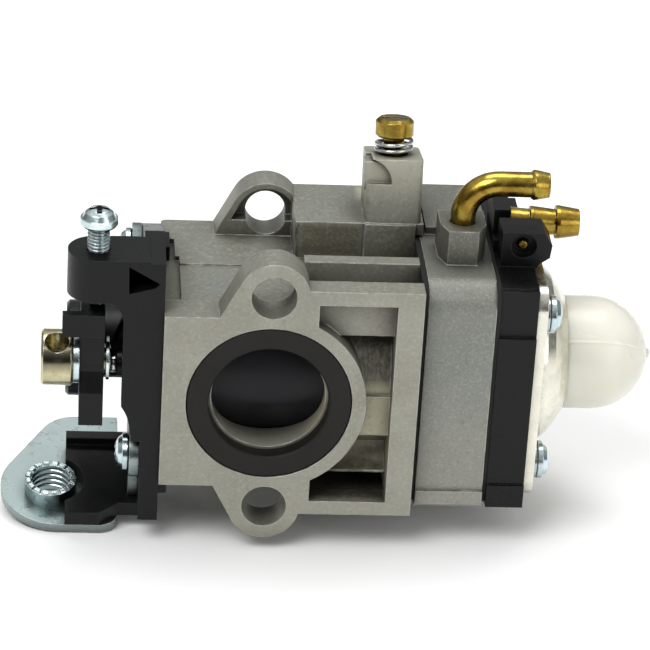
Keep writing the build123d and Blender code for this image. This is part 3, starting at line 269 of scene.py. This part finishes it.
def casting(name, base, tint, top, grain, depth, low_z, high_z, low_tone, places):
    """Die-cast metal: fine bumps, scuffed edges with a painted highlight, painted shade in recesses and
    on faces that look up, and toned boxes.
    """
    look = Look(name)
    edge, rounded = look.edges(0.28 * MM)
    patches = look.noise(130, 5, 0.6, 0.4)
    fine = look.noise(grain * 1.5, 4, 0.65)
    pits = look.noise(grain * 0.8, 5, 0.65)
    broad = look.noise(38, 3, 0.5, 0.5)
    base = look.mix(look.span(patches, 0.35, 0.68), base, tint)
    base = look.mix(look.span(broad, 0.42, 0.66, 0.0, 0.45), base, CAST_CLOUD)
    base = look.mix(look.span(look.axis(2), low_z * MM, high_z * MM, 0.7, 0.0), base, low_tone)
    # painted shade: faces that look up are darker and cooler
    base = look.mix(look.math("MULTIPLY", look.facing((0, 0, 1)), 0.8), base, top)
    # toned boxes, most of them painted light and painted shade
    for patch in places:
        mask = look.math("MULTIPLY", look.inside(patch.box, patch.soft), patch.amount)
        if patch.streaks:
            lines = look.noise(1.0, 4, 0.65, 0.3, look.stretched(patch.streaks))
            mask = look.math("MULTIPLY", mask, look.span(lines, 0.36, 0.60))
        base = look.mix(mask, base, patch.tone)
    base = look.mix(look.span(fine, 0.48, 0.72, 0.0, 0.34), base, CAST_FLECK)
    base = look.mix(look.span(pits, 0.56, 0.72, 0.0, 0.3), base, CAST_PIT)
    # painted shade: corners and recesses darkened
    base = look.mix(look.math("MULTIPLY", look.crevice(5.0 * MM), 0.80), base, CAST_RECESS_SHADE)
    # scuffed edges: wear, lightened further as a painted highlight
    scuff = look.math("MULTIPLY", edge, look.span(look.noise(420, 3), 0.36, 0.58), clamp=True)
    base = look.mix(look.math("MULTIPLY", scuff, 0.85), base, CAST_EDGE_WEAR_AND_HIGHLIGHT)
    rough = look.math("ADD", look.span(fine, 0.3, 0.7, 0.38, 0.58), look.math("MULTIPLY", scuff, -0.14))
    height = look.math("ADD", look.math("MULTIPLY", fine, 0.7), look.math("MULTIPLY", pits, 0.6))
    return look.done(base, rough, look.bump(height, depth, rounded), Metallic=0.45)


def plated(name, base, tint, rough, cloud=260, speck=0.4, shade=0.0, warp=1.2):
    """Zinc-plated or bright turned metal with a tinted film, dark specks, and painted shade in recesses
    and on faces towards the lens.
    """
    look = Look(name)
    edge, rounded = look.edges(0.14 * MM)
    film = look.noise(cloud, 4, 0.6, warp)
    fine = look.noise(FILM_GRAIN * 3, 4, 0.6)
    specks = look.noise(FILM_GRAIN, 5, 0.7)
    base = look.mix(look.span(film, 0.36, 0.66), base, tint)
    # painted shade on the faces that look towards the lens
    front = look.facing((0, -0.86, 0.5), 0.72, 0.96)
    base = look.mix(look.math("MULTIPLY", front, shade), base, FILM_GRIME_AND_SHADE)
    base = look.mix(look.span(specks, 0.57, 0.72, 0.0, speck), base, FILM_GRIME_AND_SHADE)
    # painted shade: corners and recesses darkened
    base = look.mix(look.math("MULTIPLY", look.crevice(1.6 * MM), 0.65), base, FILM_GRIME_AND_SHADE)
    base = look.mix(look.math("MULTIPLY", edge, 0.6), base, FILM_EDGE)
    roughness = look.span(look.noise(FILM_GRAIN * 0.7, 4), 0.3, 0.7, rough * 0.7, rough * 1.4)
    return look.done(base, roughness, look.bump(fine, 0.012 * MM, rounded), Metallic=1.0)


def moulded(name, base, rough, gloss, grain=1500, depth=0.02, worn=(0.06, 0.062, 0.06), amount=0.5):
    """Black moulded plastic or rubber: fine grain and greyed edges."""
    look = Look(name)
    edge, rounded = look.edges(0.22 * MM)
    fine = look.noise(grain, 4, 0.6)
    patches = look.noise(160, 4, 0.6, 0.5)
    base = look.mix(look.span(patches, 0.35, 0.7), base, tuple(1.6 * part for part in base))
    scuff = look.math("MULTIPLY", edge, look.span(look.noise(500, 3), 0.36, 0.62, 0.1, 1.0))
    base = look.mix(look.math("MULTIPLY", scuff, amount), base, worn)
    roughness = look.math("ADD", look.span(patches, 0.3, 0.7, rough - 0.07, rough + 0.08),
                          look.span(fine, 0.3, 0.7, -0.04, 0.04))
    return look.done(base, roughness, look.bump(fine, depth * MM, rounded), Specular_IOR_Level=gloss)


def brass():
    """Turned brass with brown and green staining, and painted shade towards the lens and in recesses."""
    look = Look("brass_turned")
    edge, rounded = look.edges(0.14 * MM)
    stain = look.noise(300, 5, 0.65, 1.0)
    green = look.noise(190, 4, 0.6, 0.8)
    fine = look.noise(2600, 3)
    base = look.mix(look.span(stain, 0.36, 0.66), (0.50, 0.36, 0.065), (0.21, 0.12, 0.018))
    base = look.mix(look.span(green, 0.50, 0.70, 0.0, 0.5), base, (0.20, 0.20, 0.045))
    # painted shade on the faces that look towards the lens
    front = look.facing((0.1, -0.8, 0.1), 0.45, 0.9)
    base = look.mix(look.math("MULTIPLY", front, 0.45), base, (0.16, 0.09, 0.012))
    # painted shade: corners and recesses darkened
    base = look.mix(look.math("MULTIPLY", look.crevice(1.4 * MM), 0.75), base, (0.04, 0.025, 0.006))
    base = look.mix(look.math("MULTIPLY", edge, 0.5), base, (0.90, 0.76, 0.34))
    rough = look.span(look.noise(700, 4), 0.3, 0.7, 0.15, 0.32)
    return look.done(base, rough, look.bump(fine, 0.01 * MM, rounded), Metallic=1.0)


def bulb_skin():
    """Milky translucent elastomer, slightly yellowed."""
    look = Look("bulb_elastomer")
    cloud = look.noise(90, 2, 0.4)
    base = look.mix(look.span(cloud, 0.25, 0.8), (0.77, 0.755, 0.665), (0.72, 0.70, 0.60))
    skirt = look.span(look.axis(0), 38.0 * MM, 42.0 * MM, 0.45, 0.0)
    base = look.mix(skirt, base, (0.52, 0.48, 0.34))
    rough = look.span(cloud, 0.3, 0.7, 0.27, 0.36)
    return look.done(
        base, rough,
        Subsurface_Weight=0.8, Subsurface_Radius=(1.0, 0.9, 0.7), Subsurface_Scale=1.8 * MM,
        Transmission_Weight=0.06, IOR=1.42, Coat_Weight=0.2, Coat_Roughness=0.22,
    )


SIDE_POCKET = (5.5, 18.2)
BLOCK_FACE = (17.4, 18.6)
body_places = [
    # the side pocket from the top down, and its foot: painted shade on the streaked upper cell, painted
    # light on the middle and lower cells, painted shade on the foot
    Patch((SIDE_POCKET, (3.1, 12), (1.5, 9.6)), 0.5, (0.05, 0.046, 0.028), 0.85, (2600, 2600, 260)),
    Patch((SIDE_POCKET, (2.2, 12), (-6, 1.6)), 0.7, (0.78, 0.74, 0.50), 0.80),
    Patch((SIDE_POCKET, (2.2, 12), (-13.2, -7)), 0.8, (0.60, 0.56, 0.38), 0.7, (700, 700, 200)),
    Patch((SIDE_POCKET, (1.2, 12), (-19, -14.1)), 0.6, (0.035, 0.032, 0.020), 0.85),
    # painted light on the mixture screw's tower
    Patch(((12.5, 21.2), (19.0, 30), (17.5, 28)), 0.5, (0.50, 0.49, 0.395), 0.75),
    # painted light on the lower wall of the air port's bore
    Patch(((-8.3, 8.3), (2.0, 11.0), (-8.4, -4.0)), 0.8, (0.55, 0.54, 0.45), 0.75),
    # a bluish place at the top left
    Patch(((-10.5, -4.5), (7.0, 14.0), (13, 22)), 2.4, (0.14, 0.185, 0.235), 0.50),
    # painted shade on the top block's front face, left and right
    Patch(((4.4, 12.3), BLOCK_FACE, (13.7, 17.9)), 0.3, (0.125, 0.117, 0.075), 0.75),
    Patch(((12.9, 20.9), BLOCK_FACE, (13.3, 18.1)), 0.3, (0.17, 0.162, 0.115), 0.60),
    # painted shadow on the ledge behind the flange's upper edge
    Patch(((1.5, 19.5), (2.8, 8.5), (12.5, 15.8)), 0.5, (0.085, 0.08, 0.055), 0.65),
    # painted shade on the left end of the top block's front face
    Patch(((2.0, 4.1), (16.0, 18.8), (13.2, 18.0)), 0.3, (0.035, 0.032, 0.020), 0.80),
]
# the pump body's top, round the inlet elbow
pump_places = [Patch(((22.2, 28.9), (9.2, 16.6), (16.8, 23)), 0.4, (0.115, 0.112, 0.088), 0.75)]

body_cast = casting(
    "die_cast_body_metal", (0.300, 0.296, 0.248), tint=(0.235, 0.230, 0.188), top=(0.205, 0.21, 0.175),
    grain=1300, depth=0.07 * MM, low_z=-22, high_z=-4, low_tone=(0.30, 0.293, 0.24), places=body_places,
)
pump_cast = casting(
    "pump_cast_metal", (0.205, 0.215, 0.195), tint=(0.170, 0.178, 0.160), top=(0.150, 0.157, 0.133),
    grain=2100, depth=0.045 * MM, low_z=-16, high_z=4, low_tone=(0.285, 0.275, 0.24), places=pump_places,
)
black_plastic = moulded("black_plastic_satin", (0.0032, 0.0033, 0.0036), rough=0.34, gloss=0.21)
seal_rubber = moulded(
    "seal_rubber_matte", (0.0085, 0.008, 0.007), rough=0.60, gloss=0.22,
    grain=2200, depth=0.03, worn=(0.03, 0.03, 0.028), amount=0.35,
)
barrel_black = moulded(
    "barrel_black_satin", (0.0032, 0.0034, 0.0048), rough=0.38, gloss=0.24,
    grain=2600, depth=0.006, worn=(0.02, 0.02, 0.022), amount=0.3,
)
gasket = moulded(
    "gasket_fibre", (0.012, 0.012, 0.011), rough=0.7, gloss=0.2,
    grain=3000, depth=0.03, worn=(0.05, 0.05, 0.045), amount=0.2,
)
blue_zinc = plated(
    "bracket_blue_zinc", (0.275, 0.328, 0.322), (0.245, 0.298, 0.292), rough=0.30,
    cloud=70, speck=0.0, warp=0.2,
)
bright_zinc = plated("screw_bright_zinc", (0.66, 0.77, 0.79), (0.48, 0.60, 0.62), rough=0.18, speck=0.3)
yellow_zinc = plated("swivel_yellow_zinc", (0.62, 0.57, 0.37), (0.50, 0.46, 0.28), rough=0.20, shade=0.75)
dish_zinc = plated("retainer_pale_zinc", (0.80, 0.77, 0.66), (0.66, 0.66, 0.57), rough=0.22, speck=0.2)
steel = plated("spring_steel_bright", (0.66, 0.67, 0.66), (0.52, 0.54, 0.53), rough=0.16)
brass_metal = brass()
bulb_material = bulb_skin()

looks = {
    "die_cast_body": body_cast,
    "pump_casting": pump_cast,
    "seal_rubber": seal_rubber,
    "seal_rubber_tip": brass_metal,
    "black_anodised": barrel_black,
    "black_plastic": black_plastic,
    "yellow_zinc": yellow_zinc,
    "bright_zinc": bright_zinc,
    "blue_zinc": blue_zinc,
    "brass": brass_metal,
    "translucent_bulb": bulb_material,
    "spring_steel": steel,
    "plug_aluminium": steel,
    "gasket_paper": gasket,
    "diaphragm_film": gasket,
}
own_looks = {"bulb_retainer": dish_zinc}
slot_of = {part["node"]: part["material_slot"] for part in frame["record"]["subparts"]}
for name, piece in nodes.items():
    look = own_looks.get(name, looks[slot_of[name]])
    for place in piece.material_slots:
        place.material = look


# ---------------------------------------------------------------- primer bulb
MOULD_LINE = math.radians(180 - 36)
MOULD_LINE_WIDTH = 0.02
MOULD_LINE_HEIGHT = 0.16 * MM
NUB_RADIUS = 0.62 * MM
NUB_HEIGHT = 0.35 * MM
STEM_RADIUS = 7.8 * MM
STEM_FOOT = 40.2 * MM
STEM_STEPS = 8
DOME_STEPS = 22
AROUND = 360
WALL = 1.1 * MM
LIP_RADIUS = 11.68 * MM
# the skirt between lip and stem: places along X with their radii, in millimetres
SKIRT = [(37.0, 10.98), (38.0, 9.88), (38.6, 9.1), (39.1, 8.45), (39.6, 8.0)]


def bulb_mesh():
    """The bulb's skin: lip, skirt, stem and dome, with mould lines on two sides."""
    low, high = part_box("primer_bulb")
    centre_y = (low[1] + high[1]) / 2
    centre_z = (low[2] + high[2]) / 2
    tip = high[0]
    base = low[0]
    dome = tip - STEM_RADIUS
    profile = [(base, LIP_RADIUS), (base + 0.95 * MM, LIP_RADIUS), (base + 1.3 * MM, 11.45 * MM)]
    profile += [(x * MM, radius * MM) for x, radius in SKIRT]
    for step in range(STEM_STEPS):
        profile.append((STEM_FOOT + (dome - STEM_FOOT) * step / STEM_STEPS, STEM_RADIUS))
    for step in range(DOME_STEPS - 1):
        angle = math.pi / 2 * step / DOME_STEPS
        profile.append((dome + STEM_RADIUS * math.sin(angle), STEM_RADIUS * math.cos(angle)))
    profile += [(tip - 0.02 * MM, NUB_RADIUS + 0.05 * MM), (tip + NUB_HEIGHT, NUB_RADIUS)]
    bore = STEM_RADIUS - WALL
    inside = []
    for step in reversed(range(DOME_STEPS)):
        angle = math.pi / 2 * step / DOME_STEPS
        inside.append((dome + bore * math.sin(angle), bore * math.cos(angle)))
    inside += [(39.4 * MM, bore), (37.6 * MM, 8.6 * MM), (base, 8.7 * MM)]
    verts = []
    faces = []

    def rings(points, ridge):
        rows = []
        for x, radius in points:
            row = []
            for step in range(AROUND):
                angle = 2 * math.pi * step / AROUND
                away = abs(math.remainder(angle - MOULD_LINE, math.pi))
                swell = math.exp(-((away / MOULD_LINE_WIDTH) ** 2))
                lift = ridge * swell * min(1.0, radius / STEM_RADIUS)
                reach = radius + lift
                row.append(len(verts))
                verts.append((x, centre_y + reach * math.cos(angle), centre_z + reach * math.sin(angle)))
            rows.append(row)
        return rows

    def skin(rows):
        for first, second in zip(rows, rows[1:]):
            for step in range(AROUND):
                after = (step + 1) % AROUND
                faces.append((first[step], first[after], second[after], second[step]))

    outer_rows = rings(profile, MOULD_LINE_HEIGHT)
    outer_tip = len(verts)
    verts.append((tip + NUB_HEIGHT, centre_y, centre_z))
    inner_tip = len(verts)
    verts.append((tip - WALL, centre_y, centre_z))
    inner_rows = rings(inside, 0.0)
    skin(outer_rows)
    skin(inner_rows)
    for step in range(AROUND):
        after = (step + 1) % AROUND
        faces.append((outer_rows[-1][step], outer_rows[-1][after], outer_tip))
        faces.append((inner_rows[0][after], inner_rows[0][step], inner_tip))
        faces.append((inner_rows[-1][step], inner_rows[-1][after],
                      outer_rows[0][after], outer_rows[0][step]))
    mesh = bpy.data.meshes.new("bulb_skin")
    mesh.from_pydata(verts, [], faces)
    mesh.shade_smooth()
    mesh.validate()
    mesh.update()
    return mesh


bulb = bpy.data.objects.new("bulb_skin", bulb_mesh())
bpy.context.scene.collection.objects.link(bulb)
bulb.data.materials.append(bulb_material)
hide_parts("primer_bulb")
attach(bulb, "carburetor")
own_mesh(bulb)


def spring_between(node):
    """A baked copy of the coil spring's mesh, standing in for the hidden part."""
    source = nodes[node]
    coil = bpy.data.objects.new(node + "_wire", source.data.copy())
    bpy.context.scene.collection.objects.link(coil)
    coil.matrix_world = source.matrix_world.copy()
    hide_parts(node)
    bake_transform(coil)


spring_between("barrel_spring")
spring_between("mixture_spring")
spring_between("metering_lever_spring")

# ---------------------------------------------------------------- floor and light
FLOOR_GAP = 0.2 * MM
FLOOR_REACH = 3.0
floor_z = cad_box[0][2] - FLOOR_GAP
floor_mesh = bpy.data.meshes.new("floor")
corners = [(-1, -1), (1, -1), (1, 1), (-1, 1)]
floor_mesh.from_pydata(
    [(x * FLOOR_REACH, y * FLOOR_REACH, floor_z) for x, y in corners], [], [(0, 1, 2, 3)],
)
floor = bpy.data.objects.new("floor", floor_mesh)
bpy.context.scene.collection.objects.link(floor)
paper = Look("floor_paper")
floor_mesh.materials.append(
    paper.done(paper.mix(paper.noise(3), (0.93, 0.93, 0.93), (0.95, 0.95, 0.95)), 0.9)
)


LIGHT_AIM = Vector((0, 0.01, 0))


def softbox(name, at, size, power):
    """A white rectangular light aimed at the object."""
    lamp = bpy.data.lights.new(name, "AREA")
    lamp.shape = "RECTANGLE"
    lamp.size, lamp.size_y = size
    lamp.energy = power
    holder = bpy.data.objects.new(name, lamp)
    bpy.context.scene.collection.objects.link(holder)
    holder.location = at
    holder.rotation_mode = "QUATERNION"
    holder.rotation_quaternion = (LIGHT_AIM - Vector(at)).to_track_quat("-Z", "Y")


softbox("key", at=(-0.35, -0.45, 0.75), size=(0.55, 0.45), power=5.0)
softbox("fill", at=(0.55, -0.55, 0.25), size=(0.5, 0.4), power=1.6)
softbox("top", at=(0.05, 0.25, 0.8), size=(0.6, 0.4), power=3.0)

# heights on the sky from below to above, with their tones
SKY_LOW = (0.0, (0.16, 0.17, 0.18, 1))
SKY_MIDDLE = (0.22, (0.30, 0.31, 0.32, 1))
SKY_HIGH = (0.75, (1, 1, 1, 1))
SKY_STRENGTH = 0.75
# the side the lens looks from is darker, as the open end of a light tent
OPEN_END = (("From Min", -1.0), ("From Max", -0.35), ("To Min", 0.22), ("To Max", 1.0))



def studio():
    """Surroundings that brighten upwards and darken towards -Y."""
    world = bpy.data.worlds.new("studio")
    world.use_nodes = True
    tree = world.node_tree
    tree.nodes.clear()
    where = tree.nodes.new("ShaderNodeTexCoord")
    parts = tree.nodes.new("ShaderNodeSeparateXYZ")
    tree.links.new(where.outputs["Generated"], parts.inputs[0])
    ramp = tree.nodes.new("ShaderNodeValToRGB")
    tree.links.new(parts.outputs[2], ramp.inputs[0])
    stops = ramp.color_ramp.elements
    stops[0].position, stops[0].color = SKY_LOW
    stops[1].position, stops[1].color = SKY_HIGH
    stops.new(SKY_MIDDLE[0]).color = SKY_MIDDLE[1]
    open_end = tree.nodes.new("ShaderNodeMapRange")
    tree.links.new(parts.outputs[1], open_end.inputs["Value"])
    for key, number in OPEN_END:
        open_end.inputs[key].default_value = number
    tent = tree.nodes.new("ShaderNodeVectorMath")
    tent.operation = "SCALE"
    tree.links.new(ramp.outputs[0], tent.inputs[0])
    tree.links.new(open_end.outputs[0], tent.inputs["Scale"])
    sky = tree.nodes.new("ShaderNodeBackground")
    tree.links.new(tent.outputs[0], sky.inputs[0])
    sky.inputs[1].default_value = SKY_STRENGTH
    out = tree.nodes.new("ShaderNodeOutputWorld")
    tree.links.new(sky.outputs[0], out.inputs[0])
    return world


bpy.context.scene.world = studio()
